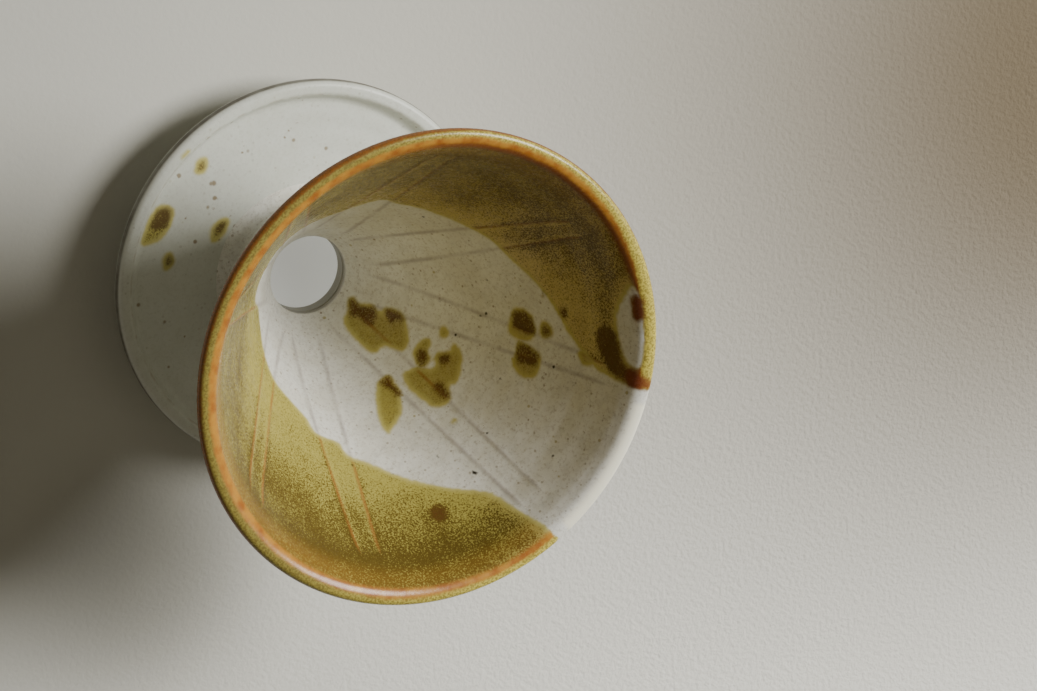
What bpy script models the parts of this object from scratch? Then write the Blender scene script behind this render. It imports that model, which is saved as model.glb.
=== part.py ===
"""Pour over dripper: a hand-thrown stoneware filter cone luted to a saucer with a locating ring.

Metres, +Z up. The origin is the centre of the locating ring's flat underside, on the axis.
Every piece is a turned ring about Z. Pieces that were luted together with clay keep a
hairline gap, so that each one stays a closed solid of its own.
"""

from math import cos, degrees, pi, radians, sin, tan

import bmesh
import bpy

# Driving dimensions.
RIM_RADIUS = 0.060  # the widest part, a 120 mm filter cone
CONE_HALF_ANGLE = radians(30)  # a 60 degree cone, which takes standard paper filters
HOLE_RADIUS = 0.0105  # one large drain hole
RIM_Z = 0.0941  # height of the rim's widest line
LIP_RADIUS = 0.0019  # rounding of the rolled rim
HOLE_TOP_Z = 0.0145
FOOT_WALL = 0.0071  # thickness of the cone's foot around the hole
OUTER_HALF_ANGLE = radians(28.5)  # the wall thins a little towards the rim
SHOULDER_SHARE = 0.89  # share of the wall's height at which it turns more upright

SAUCER_RADIUS = 0.0523
SAUCER_UNDERSIDE_Z = 0.008
SAUCER_THICKNESS = 0.004
SAUCER_LIP_Z = 0.015
SAUCER_LIP_RADIUS = 0.0017
SAUCER_FLAT_RADIUS = 0.0466  # where the flat top meets the upturned lip
SAUCER_UNDERSIDE_RADIUS = 0.046
SAUCER_SEAT_RADIUS = 0.037  # inner edge of the flat band that rests on a mug's rim
SAUCER_DISH = 0.0002  # rise of the underside from that band to the drain hole

RING_RADIUS = 0.033  # slips into a mug's mouth
RING_WALL = 0.005
RING_TAPER = 0.0005
RING_ROUND = 0.001

COIL_HEIGHT = 0.0075
COIL_REACH = 0.0068
SLIP_REACH = 0.0025
BEAD_EDGE = 0.0005  # thickness of a luting bead where it feathers out

GAP = 0.0003  # hairline kept between neighbouring pieces
TURN_STEPS = 72
ARC_STEPS = 4

# Paper ribs: raised lines up the inside of the cone, drawn freehand in pairs. Each one has
# its angles, in degrees about +Z from +X, at three shares of the inner wall's height.
RIB_SHARES = (0.1, 0.4, 0.9)
RIBS = [
    (8, 14.5, 21.5), (38, 30.3, 27.7),
    (58, 68, 72.5), (87.5, 82, 79.3),
    (101.5, 109.5, 114.3), (129.5, 124.3, 119.7),
    (142, 152.5, 159.5), (175, 168.8, 165),
    (189.5, 201, 208), (223, 217, 213.5),
    (236, 246, 251.5), (263, 259, 256.5),
    (276, 282, 286), (319, 300.5, 292),
    (332, 336.5, 339.5), (357.5, 347.3, 345.6),
]
RIB_RADIUS = 0.0009
RIB_SINK = 0.0004  # depth of a rib's centre line below the wall
RIB_LOW_SHARE = 0.08
RIB_HIGH_SHARE = 0.88
RIB_POINTS = 9

# Heights and radii that follow from them.
SAUCER_TOP_Z = SAUCER_UNDERSIDE_Z + SAUCER_THICKNESS
CONE_FOOT_Z = SAUCER_TOP_Z + GAP
RING_TOP_Z = SAUCER_UNDERSIDE_Z - GAP
FOOT_RADIUS = HOLE_RADIUS + FOOT_WALL
FOOT_TOP_Z = HOLE_TOP_Z + 0.001
LIP_CENTRE_RADIUS = RIM_RADIUS - LIP_RADIUS
WALL_TOP_RADIUS = LIP_CENTRE_RADIUS + LIP_RADIUS * cos(OUTER_HALF_ANGLE)
WALL_TOP_Z = RIM_Z - LIP_RADIUS * sin(OUTER_HALF_ANGLE)

STONEWARE_WHITE = (0.72, 0.70, 0.64, 1.0)
ASH_GLAZE_OLIVE = (0.34, 0.28, 0.07, 1.0)
TOASTED_CLAY = (0.55, 0.40, 0.27, 1.0)
SATIN = 0.38
MATT = 0.75


def arc(centre, radius, start, end, steps=ARC_STEPS):
    """Points of an arc in the (radius, height) half-plane, its angles in degrees."""
    turns = [radians(start + (end - start) * i / steps) for i in range(steps + 1)]
    return [(centre[0] + radius * cos(a), centre[1] + radius * sin(a)) for a in turns]


def inner_radius(height):
    """Radius of the cone's straight inner wall at a height."""
    return HOLE_RADIUS + (height - HOLE_TOP_Z) * tan(CONE_HALF_ANGLE)


def outer_radius(height):
    """Radius of the cone's outer wall, a straight line from the foot to the rim."""
    share = (height - FOOT_TOP_Z) / (WALL_TOP_Z - FOOT_TOP_Z)
    return FOOT_RADIUS + share * (WALL_TOP_RADIUS - FOOT_RADIUS)


def cone_profile():
    """Rim, outer wall down to the foot, drain hole, then the inner wall back up."""
    shoulder_z = HOLE_TOP_Z + SHOULDER_SHARE * (RIM_Z - HOLE_TOP_Z)
    middle_z = (HOLE_TOP_Z + shoulder_z) / 2
    lip_end = -degrees(OUTER_HALF_ANGLE)
    lip = arc((LIP_CENTRE_RADIUS, RIM_Z), LIP_RADIUS, 180, lip_end, 2 * ARC_STEPS)
    outside = [(outer_radius(z), z) for z in (middle_z, FOOT_TOP_Z)]
    foot = [(FOOT_RADIUS, CONE_FOOT_Z), (HOLE_RADIUS, CONE_FOOT_Z)]
    inside = [(inner_radius(z), z) for z in (HOLE_TOP_Z, middle_z, shoulder_z)]
    return lip + outside + foot + inside


def saucer_profile():
    """Upturned lip, slanting underside, flat seat, dished middle, drain hole, then the top."""
    lip_centre = (SAUCER_RADIUS - SAUCER_LIP_RADIUS, SAUCER_LIP_Z - SAUCER_LIP_RADIUS)
    lip = arc(lip_centre, SAUCER_LIP_RADIUS, 150, -40, 2 * ARC_STEPS)
    underside = arc((SAUCER_UNDERSIDE_RADIUS, SAUCER_UNDERSIDE_Z + 0.006), 0.006, -50, -90)
    seat = [(SAUCER_SEAT_RADIUS, SAUCER_UNDERSIDE_Z)]
    hole = [(HOLE_RADIUS, SAUCER_UNDERSIDE_Z + SAUCER_DISH), (HOLE_RADIUS, SAUCER_TOP_Z)]
    corner = arc((SAUCER_FLAT_RADIUS - 0.0008, SAUCER_TOP_Z + 0.0025), 0.0025, -90, -25)
    return lip + underside + seat + hole + corner


def ring_profile():
    """Tapered ring with rounded feet and a flat standing face."""
    outer_foot = RING_RADIUS - RING_TAPER - RING_ROUND
    inner_foot = RING_RADIUS - RING_WALL + RING_TAPER + RING_ROUND
    top = [(RING_RADIUS - RING_WALL, RING_TOP_Z), (RING_RADIUS, RING_TOP_Z)]
    outer = arc((outer_foot, RING_ROUND), RING_ROUND, 0, -90)
    inner = arc((inner_foot, RING_ROUND), RING_ROUND, -90, -180)
    return top + outer + inner


def hollow_curve(start, end, bulge_to, steps=ARC_STEPS):
    """Points of a smooth hollow between two ends, drawn towards a third point."""
    shares = [i / steps for i in range(steps + 1)]
    weights = [((1 - s) ** 2, 2 * s * (1 - s), s**2) for s in shares]
    return [
        tuple(a * start[i] + b * bulge_to[i] + c * end[i] for i in range(2)) for a, b, c in weights
    ]


def cone_coil_profile():
    """Clay fillet in the angle between the cone's outer wall and the saucer's top."""
    low, high = CONE_FOOT_Z, CONE_FOOT_Z + COIL_HEIGHT
    top = (outer_radius(high) + GAP + BEAD_EDGE, high)
    toe = (FOOT_RADIUS + COIL_REACH, low + BEAD_EDGE)
    hollow = hollow_curve(top, toe, (outer_radius(low + 0.002) + 0.0025, low + 0.0018))
    bed = [(FOOT_RADIUS + COIL_REACH, low), (FOOT_RADIUS + GAP, low)]
    back = [(FOOT_RADIUS + GAP, FOOT_TOP_Z), (outer_radius(high) + GAP, high)]
    return hollow + bed + back


def ring_slip_profile():
    """Slip fillet in the angle between the ring's outside and the saucer's underside."""
    inner = RING_RADIUS + GAP
    low = RING_TOP_Z - SLIP_REACH
    bed = [(inner, RING_TOP_Z), (inner + SLIP_REACH, RING_TOP_Z)]
    toe = (inner + SLIP_REACH, RING_TOP_Z - BEAD_EDGE)
    heel = (inner + BEAD_EDGE, low)
    hollow = hollow_curve(toe, heel, (inner + BEAD_EDGE, RING_TOP_Z - BEAD_EDGE))
    return bed + hollow + [(inner, low)]


def make_material(name, colour, roughness):
    """A Principled material named for its surface."""
    material = bpy.data.materials.new(name)
    material.use_nodes = True
    shader = material.node_tree.nodes["Principled BSDF"]
    shader.inputs["Base Color"].default_value = colour
    shader.inputs["Roughness"].default_value = roughness
    shader.inputs["Metallic"].default_value = 0.0
    return material


def turned_piece(name, profile, material, collection, parent):
    """A closed profile swept once around Z by a Screw modifier."""
    mesh = bpy.data.meshes.new(name)
    count = len(profile)
    points = [(radius, 0.0, height) for radius, height in profile]
    mesh.from_pydata(points, [(i, (i + 1) % count) for i in range(count)], [])
    mesh.materials.append(material)
    piece = bpy.data.objects.new(name, mesh)
    piece.parent = parent
    collection.objects.link(piece)
    screw = piece.modifiers.new("turn", "SCREW")
    screw.axis = "Z"
    screw.angle = 2 * pi
    screw.steps = TURN_STEPS
    screw.render_steps = TURN_STEPS
    screw.use_merge_vertices = True
    screw.merge_threshold = 0.00001
    screw.use_smooth_shade = True
    return piece


def height_at(share):
    """Height of a share of the inner wall, from the drain hole's edge to the rim."""
    return HOLE_TOP_Z + share * (RIM_Z - HOLE_TOP_Z)


def rib_angle(rib, share):
    """A rib's angle at a share, smooth in one over the radius, as a line on a cone is."""
    curls = [1 / inner_radius(height_at(s)) for s in RIB_SHARES]
    curl = 1 / inner_radius(height_at(share))
    total = 0.0
    for angle, here in zip(rib, curls):
        first, second = [other for other in curls if other != here]
        total += angle * (curl - first) * (curl - second) / (here - first) / (here - second)
    return radians(total)


def rib_point(rib, share):
    """A point on a rib's centre line, sunk a little into the inner wall."""
    height, angle = height_at(share), rib_angle(rib, share)
    sunk = inner_radius(height) + RIB_SINK * cos(CONE_HALF_ANGLE)
    return (sunk * cos(angle), sunk * sin(angle), height - RIB_SINK * sin(CONE_HALF_ANGLE))


def make_ribs(collection):
    """All the ribs as one hidden mesh of separate rods, which the cone takes in."""
    curve = bpy.data.curves.new("ribs", "CURVE")
    curve.dimensions = "3D"
    curve.bevel_depth = RIB_RADIUS
    curve.bevel_resolution = 1
    curve.use_fill_caps = True
    step = (RIB_HIGH_SHARE - RIB_LOW_SHARE) / (RIB_POINTS - 1)
    for rib in RIBS:
        spline = curve.splines.new("POLY")
        spline.points.add(RIB_POINTS - 1)
        for i, point in enumerate(spline.points):
            point.co = (*rib_point(rib, RIB_LOW_SHARE + i * step), 1.0)
    rods = bpy.data.objects.new("rib_rods", curve)
    collection.objects.link(rods)
    return curve_to_mesh(rods, collection)


def curve_to_mesh(rods, collection):
    """The bevelled curve as a closed mesh object, its loose caps welded on."""
    bpy.context.view_layer.update()
    graph = bpy.context.evaluated_depsgraph_get()
    mesh = bpy.data.meshes.new_from_object(rods.evaluated_get(graph))
    shape = bmesh.new()
    shape.from_mesh(mesh)
    bmesh.ops.remove_doubles(shape, verts=shape.verts, dist=0.00001)
    shape.to_mesh(mesh)
    shape.free()
    ribs = bpy.data.objects.new("ribs", mesh)
    ribs.matrix_world = rods.matrix_world
    ribs.hide_render = True
    ribs.display_type = "WIRE"
    collection.objects.link(ribs)
    bpy.data.objects.remove(rods)
    return ribs


def join_ribs(cone, ribs):
    """Unites the ribs with the cone's wall."""
    union = cone.modifiers.new("paper ribs", "BOOLEAN")
    union.operation = "UNION"
    union.object = ribs


def main():
    for old in list(bpy.data.objects):
        bpy.data.objects.remove(old)
    parts = bpy.data.collections.new("pour_over_dripper")
    cutters = bpy.data.collections.new("cutters")
    bpy.context.scene.collection.children.link(parts)
    bpy.context.scene.collection.children.link(cutters)
    axis = bpy.data.objects.new("dripper_axis", None)
    parts.objects.link(axis)

    olive = make_material("olive_ash_glaze", ASH_GLAZE_OLIVE, SATIN)
    white = make_material("white_saucer_glaze", STONEWARE_WHITE, SATIN)
    joint = make_material("white_joint_glaze", STONEWARE_WHITE, SATIN)
    clay = make_material("toasted_clay", TOASTED_CLAY, MATT)
    slip = make_material("joint_slip", TOASTED_CLAY, MATT)

    cone = turned_piece("cone", cone_profile(), olive, parts, axis)
    join_ribs(cone, make_ribs(cutters))
    turned_piece("saucer", saucer_profile(), white, parts, axis)
    turned_piece("cone_joint_coil", cone_coil_profile(), joint, parts, axis)
    turned_piece("locating_ring", ring_profile(), clay, parts, axis)
    turned_piece("ring_joint_slip", ring_slip_profile(), slip, parts, axis)


main()
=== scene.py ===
"""The looks of the pour over dripper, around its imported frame.

Fired pieces are swept outlines with a dense skin. Their glaze pattern is measured on the
surface in millimetres, stored on the mesh, and coloured by procedural materials.
Angles are degrees about +Z from +X. A share is a height on the cone's inner wall, 0 at the
drain hole's top edge and 1 at the rim's widest line.
"""

from math import cos, radians, sin

import bpy
import numpy as np
from mathutils import Matrix, Vector


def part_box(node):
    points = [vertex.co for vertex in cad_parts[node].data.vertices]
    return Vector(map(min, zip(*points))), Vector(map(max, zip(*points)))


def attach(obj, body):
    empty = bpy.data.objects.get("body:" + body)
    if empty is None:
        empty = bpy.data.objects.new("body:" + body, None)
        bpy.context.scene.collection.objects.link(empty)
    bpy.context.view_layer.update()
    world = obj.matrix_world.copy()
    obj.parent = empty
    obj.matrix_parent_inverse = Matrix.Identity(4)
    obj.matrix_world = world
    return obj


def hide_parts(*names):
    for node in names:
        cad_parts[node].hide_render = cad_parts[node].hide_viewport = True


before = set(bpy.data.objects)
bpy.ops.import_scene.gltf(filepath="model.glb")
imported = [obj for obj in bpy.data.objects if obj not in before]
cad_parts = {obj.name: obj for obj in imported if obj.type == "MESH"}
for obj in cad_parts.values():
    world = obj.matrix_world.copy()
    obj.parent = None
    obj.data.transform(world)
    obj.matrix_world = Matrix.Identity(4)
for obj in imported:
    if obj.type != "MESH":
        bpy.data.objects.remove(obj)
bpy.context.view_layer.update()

MM = 0.001

# ---- sizes, in mm

RIM_RADIUS, _, RIM_TOP = np.array(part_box("cone")[1]) / MM
(_, _, SAUCER_UNDER), (SAUCER_RADIUS, _, SAUCER_LIP_TOP) = np.array(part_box("saucer")) / MM
RING_RADIUS = np.array(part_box("locating_ring")[1])[0] / MM
COIL_RADIUS, _, COIL_TOP = np.array(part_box("cone_joint_coil")[1]) / MM
SLIP_RADIUS = np.array(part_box("ring_joint_slip")[1])[0] / MM

LIP_RADIUS = 1.9
RIM_Z = RIM_TOP - LIP_RADIUS
HOLE_RADIUS = 10.5
HOLE_TOP = 14.5
HOLE_EDGE = 1.2  # the inner wall counts from this far below the hole's top
CONE_HALF_ANGLE = radians(30)
OUTER_HALF_ANGLE = radians(28.5)
SHOULDER_SHARE = 0.82  # above it the wall thickens towards the lip
LIP_HEIGHT = 4.0
LIP_THICKENING = 1.5  # how far the wall has grown inwards where the lip starts
LIP_FLARE = radians(30)
LIP_OUTSIDE = 1.5  # roundings of the lip's two edges
LIP_INSIDE = 4.0
FOOT_RADIUS = 17.6
FOOT_TOP = 15.5
SAUCER_TOP = 12.0
RING_WALL = 5.0
SEAM = 0.05  # gap between stacked pieces, a hairline inside the drain hole

ARC_STEP = radians(9)  # of the roundings in an outline
CONE_GAPS = [1.6, 1, 1, 1, 0.85, 0.8, 0.6, 0.5]  # widest gap after each corner of its outline
COLUMN_GAP = 1.3  # between the cone's columns, measured at the rim
# Where a rib's columns run, either side of its centre line.
RIB_COLUMNS = np.array([-1.25, -0.85, -0.55, -0.28, 0, 0.28, 0.55, 0.85, 1.25])
TURNED_COLUMNS = 288  # of the ring, the coil and the slip
SAUCER_COLUMNS = 360
REACH = 6.0  # beyond it a distance to a patch no longer matters
OLIVE_REACH = 12.0  # the same for the distance to the olive glaze's edge
NO_RIB = 9.0  # stands for the distance to a rib where there is none

CONE_INSET = 0.16  # keeps the reliefs below inside the CAD's box
OLIVE_THICKNESS = 0.10
SPLASH_THICKNESS = 0.06
RIPPLE_PITCH = 7.5
RIPPLE_DEPTH = 0.035
THROWING_PITCH = 5.4
THROWING_DEPTH = 0.20
SAUCER_INSET = 0.06
SAUCER_RING_PITCH = 6.5
SAUCER_RING_DEPTH = 0.05

# ---- drawn pattern

# Each paper rib's angle at shares 0.1, 0.4 and 0.9, drawn freehand in pairs.
RIBS = [
    (8, 14.5, 21.5), (38, 30.3, 27.7),
    (58, 68, 72.5), (87.5, 82, 79.3),
    (101.5, 109.5, 114.3), (129.5, 124.3, 119.7),
    (142, 152.5, 159.5), (175, 168.8, 165),
    (189.5, 201, 208), (223, 217, 213.5),
    (236, 246, 251.5), (263, 259, 256.5),
    (276, 282, 286), (319, 300.5, 292),
    (332, 336.5, 339.5), (357.5, 347.3, 345.6),
]
RIB_SHARES = (0.1, 0.4, 0.9)
RIB_HEIGHT = 0.08
RIB_WIDTH = 0.7
RIB_RISE = (0.05, 0.13)  # the shares over which a rib rises from the wall, and sinks again
RIB_FALL = (0.86, 0.94)

# Lower edge of the olive glaze inside, as (angle, share), anticlockwise from the bare wedge.
OLIVE_EDGE_INSIDE = [
    (116.3, 1), (116.8, 0.9), (119, 0.84), (125, 0.765), (135, 0.7), (145, 0.635), (150, 0.6),
    (160, 0.56), (175, 0.48), (185, 0.445), (197, 0.41), (205, 0.42), (212, 0.365), (217, 0.31),
    (227, 0.25), (237, 0.23), (262, 0.21), (285, 0.27), (300, 0.285), (310, 0.22), (317, 0.216),
    (325, 0.24), (335, 0.285), (347, 0.34), (360, 0.37), (370, 0.41), (375, 0.46), (385, 0.48),
    (389, 0.53), (397, 0.56), (407, 0.63), (417, 0.7), (426, 0.77), (429, 0.81), (431, 0.9),
    (433.5, 1),
]
# How far the olive glaze runs down the outside, as (angle, mm below the rim's crest).
OLIVE_EDGE_OUTSIDE = [
    (116.3, 0), (117, 6), (124, 15), (140, 22), (165, 17), (188, 26), (205, 34), (222, 24),
    (250, 19), (275, 31), (292, 38), (310, 24), (335, 17), (358, 26), (378, 30), (396, 20),
    (415, 15), (427, 11), (432.5, 6), (433.5, 0),
]
# A bare notch that the olive glaze missed, just inside the rim.
NOTCH = [
    (122, 1.015), (122.2, 0.985), (123.8, 0.963), (127, 0.946), (131, 0.934), (135.5, 0.937),
    (139.5, 0.962), (142.5, 0.987), (143.8, 1.006), (139, 1.018), (131, 1.021), (125, 1.02),
]

# Olive splashes on the white: outlines as (angle, share). Past 1 a share goes on over the rim.
SPLASHES = [
    [(67.5, 0.14), (69, 0.2), (72, 0.225), (76, 0.222), (80, 0.225), (82, 0.25), (84.5, 0.275),
     (88, 0.283), (93, 0.278), (97, 0.265), (101, 0.25), (105, 0.235), (108, 0.215),
     (108.5, 0.185), (106, 0.155), (102.5, 0.15), (101.5, 0.135), (103.5, 0.115), (101, 0.09),
     (98, 0.068), (101, 0.045), (95, 0.03), (88, 0.038), (80, 0.055), (72, 0.065), (68, 0.09)],
    [(72, 0.4), (73, 0.44), (74.5, 0.48), (78, 0.497), (82, 0.5), (84.5, 0.485), (86.5, 0.47),
     (89, 0.478), (93, 0.477), (97, 0.465), (101, 0.455), (104, 0.435), (105.5, 0.41),
     (103, 0.403), (101, 0.405), (99, 0.39), (97, 0.372), (93, 0.375), (90, 0.388), (88, 0.385),
     (86.5, 0.372), (84.5, 0.348), (80, 0.335), (76, 0.325), (73.5, 0.345), (72, 0.37)],
    [(84, 0.355), (86, 0.368), (88, 0.372), (92, 0.367), (95, 0.348), (98, 0.345), (101, 0.333),
     (99.5, 0.312), (94, 0.304), (89, 0.303), (86, 0.32), (84, 0.338)],
    [(49, 0.46), (50.5, 0.478), (53, 0.467), (57, 0.45), (61, 0.435), (64, 0.41), (66.5, 0.387),
     (68.7, 0.37), (69.3, 0.34), (70, 0.308), (68, 0.297), (64, 0.297), (60, 0.305), (56, 0.33),
     (53, 0.36), (50.5, 0.395), (49, 0.43)],
    [(105.3, 0.655), (107, 0.69), (111, 0.696), (114.5, 0.692), (116.7, 0.668), (117.8, 0.625),
     (116.5, 0.6), (112.5, 0.604), (109, 0.603), (106.3, 0.62)],
    [(117.8, 0.6), (118.3, 0.635), (120.5, 0.655), (123, 0.661), (126, 0.652), (129, 0.638),
     (130.5, 0.61), (129.7, 0.578), (126.5, 0.568), (122, 0.565), (118.8, 0.572)],
    [(121.2, 0.692), (123, 0.714), (125.5, 0.712), (127.8, 0.69), (126.7, 0.67), (124, 0.666),
     (121.8, 0.675)],
    [(104, 0.365), (106, 0.381), (109, 0.383), (111.5, 0.368), (110, 0.351), (106, 0.351)],
    [(75, 0.553), (76.3, 0.564), (77.8, 0.558), (77.6, 0.546), (76, 0.543)],
    [(117, 0.82), (118, 0.86), (119.7, 0.87), (121.3, 0.845), (121.8, 0.815), (120, 0.8)],
]
# Where the iron gathered darkest, in the splashes, in the olive and at the notch.
DARK_CORES = [
    [(79.5, 0.07), (84, 0.088), (86, 0.1), (84.5, 0.13), (88, 0.15), (95, 0.143), (101, 0.133),
     (102.5, 0.115), (98, 0.102), (96, 0.078), (99, 0.047), (94, 0.036), (87, 0.046)],
    [(97.5, 0.19), (101, 0.208), (104.5, 0.234), (107.3, 0.21), (106, 0.166), (102, 0.163)],
    [(85, 0.358), (88, 0.364), (92, 0.353), (94.5, 0.338), (92.5, 0.322), (88.5, 0.323),
     (85.8, 0.337)],
    [(93, 0.402), (94.5, 0.42), (97, 0.423), (98.8, 0.407), (97, 0.388), (94.3, 0.389)],
    [(81.5, 0.43), (80.5, 0.48), (83.5, 0.492), (85, 0.462), (84.5, 0.43)],
    [(62, 0.32), (64, 0.35), (65, 0.382), (67.7, 0.383), (68.3, 0.34), (69.3, 0.306), (66, 0.3),
     (62.5, 0.301)],
    [(109.8, 0.645), (111.5, 0.68), (115, 0.684), (116.8, 0.652), (117.2, 0.615), (114, 0.605),
     (110.3, 0.618)],
    [(121.5, 0.655), (123.5, 0.658), (127, 0.645), (129.3, 0.617), (128.5, 0.583), (125, 0.576),
     (121.8, 0.598)],
    [(122, 0.695), (123.5, 0.706), (126, 0.694), (125.5, 0.677), (123, 0.679)],
    [(48.7, 0.775), (49.8, 0.798), (52, 0.8), (53.8, 0.777), (52.2, 0.753), (49.8, 0.753)],
    [(130, 0.745), (131.2, 0.756), (133, 0.753), (133.3, 0.738), (131.5, 0.735)],
    [(135.7, 0.683), (137, 0.692), (138.2, 0.684), (137, 0.675)],
    [(117.3, 1), (117, 0.962), (118.3, 0.925), (120.6, 0.902), (122.8, 0.88), (126.3, 0.86),
     (129.8, 0.866), (131, 0.893), (129, 0.93), (126.3, 0.946), (123, 0.957), (121.2, 0.975),
     (120.8, 1.01)],
    [(134, 1.003), (135.5, 1.023), (138, 1.028), (140.5, 1.026), (142, 1.009), (140.7, 0.99),
     (138, 0.984), (135.3, 0.987)],
    [(116.9, 0.985), (116.5, 1.02), (116.6, 1.06), (117.7, 1.068), (119, 1.055), (120, 1.025),
     (120.7, 0.99)],
]
# A few lone iron specks: angle, share, radius.
CONE_SPECKS = [
    (68.5, 0.715, 0.55), (69.2, 0.727, 0.32), (113.2, 0.735, 0.4), (81.5, 0.652, 0.33),
    (62, 0.612, 0.42), (63.5, 0.586, 0.3), (101, 0.592, 0.38), (124.3, 0.49, 0.42),
    (122.5, 0.472, 0.32), (97.7, 0.668, 0.33), (43.2, 0.61, 0.36), (88.8, 0.858, 0.45),
    (123.5, 0.328, 0.3), (109.3, 0.405, 0.36), (180.5, 0.408, 0.42), (28.5, 0.565, 0.4),
    (30, 0.41, 0.3), (14.2, 0.298, 0.32), (54, 0.44, 0.3), (140, 0.495, 0.28),
]

# Splashes on the saucer's top, their dark cores and lone specks: angle, radius (, size).
SAUCER_SPLASHES = [
    [(277, 43), (277.5, 45), (279.5, 46.5), (283, 47.3), (288, 47.4), (291.7, 47.2), (292.8, 45.5),
     (291, 43), (288.5, 41.4), (285, 40.4), (281, 40.5), (278, 41.4)],
    [(256.5, 43), (257.5, 44.5), (260, 44.9), (262.6, 43.6), (263.6, 42.3), (262, 40.9),
     (260, 40.6), (258, 41.5)],
    [(269, 27), (270, 28.8), (273, 29.8), (278, 30.2), (283, 29.2), (285, 28), (283, 26.5),
     (279, 25.8), (274, 25.7)],
    [(293, 38.5), (294.5, 39.8), (297.5, 40.2), (300.5, 39.3), (300.5, 37.8), (298.5, 36.8),
     (296, 36.6), (293.8, 37.4)],
    [(259.2, 49.6), (260, 50.2), (262, 50.2), (263, 49.5), (261.5, 49), (260, 49)],
]
SAUCER_CORES = [
    [(278, 42), (277.6, 44), (280, 46), (284, 46), (287, 44.5), (285, 42.2), (281, 41.2)],
    [(258.3, 43.3), (260, 44), (261.3, 42.6), (260.7, 41.3), (259.2, 41.6)],
    [(271, 27.3), (274, 29.1), (278, 29.4), (280.7, 28), (278, 26.4), (274, 26.3)],
    [(294, 38), (296, 39.5), (298.5, 38.8), (298, 37.2), (296, 37)],
]
SAUCER_SPECKS = [
    (225, 39.2, 0.33), (221.5, 41, 0.36), (227, 37.8, 0.36), (245, 38.6, 0.36),
    (249.5, 36.5, 0.33), (265, 33.4, 0.4), (269.5, 32.5, 0.42), (278.7, 37.7, 0.36),
    (239.5, 49.8, 0.33), (216, 45.2, 0.33), (267.5, 27.2, 0.33), (282, 26.4, 0.36), (120, 40, 0.4),
    (60, 33, 0.35), (15, 43, 0.4), (330, 36, 0.35), (160, 30, 0.35),
]

# Glaze bands over the rim, as (angle, then mm along the outline from the crest, negative
# inside): where the rust ends inside, where the pale crest starts and ends, where the brown
# ends outside, and then how pale the crest is.
RIM_BANDS = [
    (0, -3.2, -1.4, 1.7, 3.2, 0), (30, -3, -0.6, 2.4, 3.4, 0.7), (60, -2.1, -0.9, 2.6, 3.5, 1),
    (75, -2.1, -0.9, 2.4, 3.4, 1), (117, -3.2, -1.4, 1.9, 3.2, 0.9),
    (121, -2.8, -2.5, 1.8, 3.2, 0.9), (142, -3, -2.7, 1.7, 3.2, 0.9),
    (150, -3.6, -1.9, 1.6, 3.3, 0.9), (161, -3.7, -1.2, 1.5, 3.2, 0.8),
    (175, -3.8, -0.7, 1.4, 3.2, 0.7), (205, -3.3, -0.2, 1.4, 3.4, 0.8),
    (235, -3, -0.8, 0.6, 3.2, 0.1), (265, -3.6, -0.9, 0.6, 3.2, 0), (300, -3.8, -0.7, 0.9, 3.2, 0),
    (335, -3.8, -1.2, 1.2, 3.3, 0), (360, -3.2, -1.4, 1.7, 3.2, 0),
]
# How the olive glaze lies inside, as (angle, share where it starts to darken, share where it
# is darkest, how dark, how much it blushes orange towards the rim, how far the side in shade
# gets painted tones: lighter olive as painted light, darker rust and rib lines as painted shade).
DEPTHS = [
    (0, 0.5, 0.83, 1.25, 0.45, 0), (25, 0.54, 0.85, 1.15, 0.3, 0), (45, 0.6, 0.85, 1.15, 0.25, 0),
    (60, 0.66, 0.88, 0.95, 0.25, 0), (73, 0.78, 0.95, 0.5, 0.3, 0.3), (118, 0.8, 0.93, 1, 0.3, 1),
    (130, 0.84, 0.95, 0.9, 0.15, 1), (140, 0.7, 0.95, 0.85, 0.05, 1),
    (155, 0.56, 0.74, 0.85, 0.1, 1), (170, 0.5, 0.78, 0.75, 0.2, 0.9),
    (185, 0.44, 0.6, 0.85, 0.35, 0.8), (200, 0.42, 0.66, 0.75, 0.4, 0.8),
    (215, 0.38, 0.65, 0.75, 0.5, 0.7), (230, 0.28, 0.52, 0.9, 0.65, 0.4),
    (245, 0.26, 0.48, 1, 0.8, 0.2), (260, 0.26, 0.5, 0.75, 0.8, 0), (280, 0.3, 0.5, 0.75, 0.85, 0),
    (300, 0.3, 0.5, 0.9, 0.75, 0), (315, 0.3, 0.6, 0.95, 0.55, 0), (330, 0.45, 0.8, 0.95, 0.5, 0),
    (342, 0.5, 0.84, 1.25, 0.45, 0), (360, 0.5, 0.83, 1.25, 0.45, 0),
]


# ---- outlines


def rounded(corners, spacing):
    """A closed outline through (radius, height, rounding) corners, filled in with points.

    spacing is the widest gap in mm, one for the whole outline or one after each corner.
    """
    points, gaps = [], []
    spacing = np.broadcast_to(spacing, len(corners))
    count = len(corners)
    for i, (r, z, rounding) in enumerate(corners):
        here = np.array((r, z))
        back = np.array(corners[i - 1][:2]) - here
        ahead = np.array(corners[(i + 1) % count][:2]) - here
        back_unit, ahead_unit = back / np.linalg.norm(back), ahead / np.linalg.norm(ahead)
        half_turn = np.arccos(np.clip(back_unit @ ahead_unit, -1, 1)) / 2
        cut = rounding / np.tan(half_turn)
        bisector = (back_unit + ahead_unit) / np.linalg.norm(back_unit + ahead_unit)
        centre = here + bisector * rounding / np.sin(half_turn)
        start, end = here + back_unit * cut - centre, here + ahead_unit * cut - centre
        turn = np.arctan2(start[0] * end[1] - start[1] * end[0], start @ end)
        steps = max(3, int(np.ceil(abs(turn) / ARC_STEP)))
        for k in range(steps + 1):
            c, s = np.cos(turn * k / steps), np.sin(turn * k / steps)
            points.append(centre + (c * start[0] - s * start[1], s * start[0] + c * start[1]))
            gaps.append(spacing[i])
    return filled_in(np.array(points), gaps)


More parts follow.
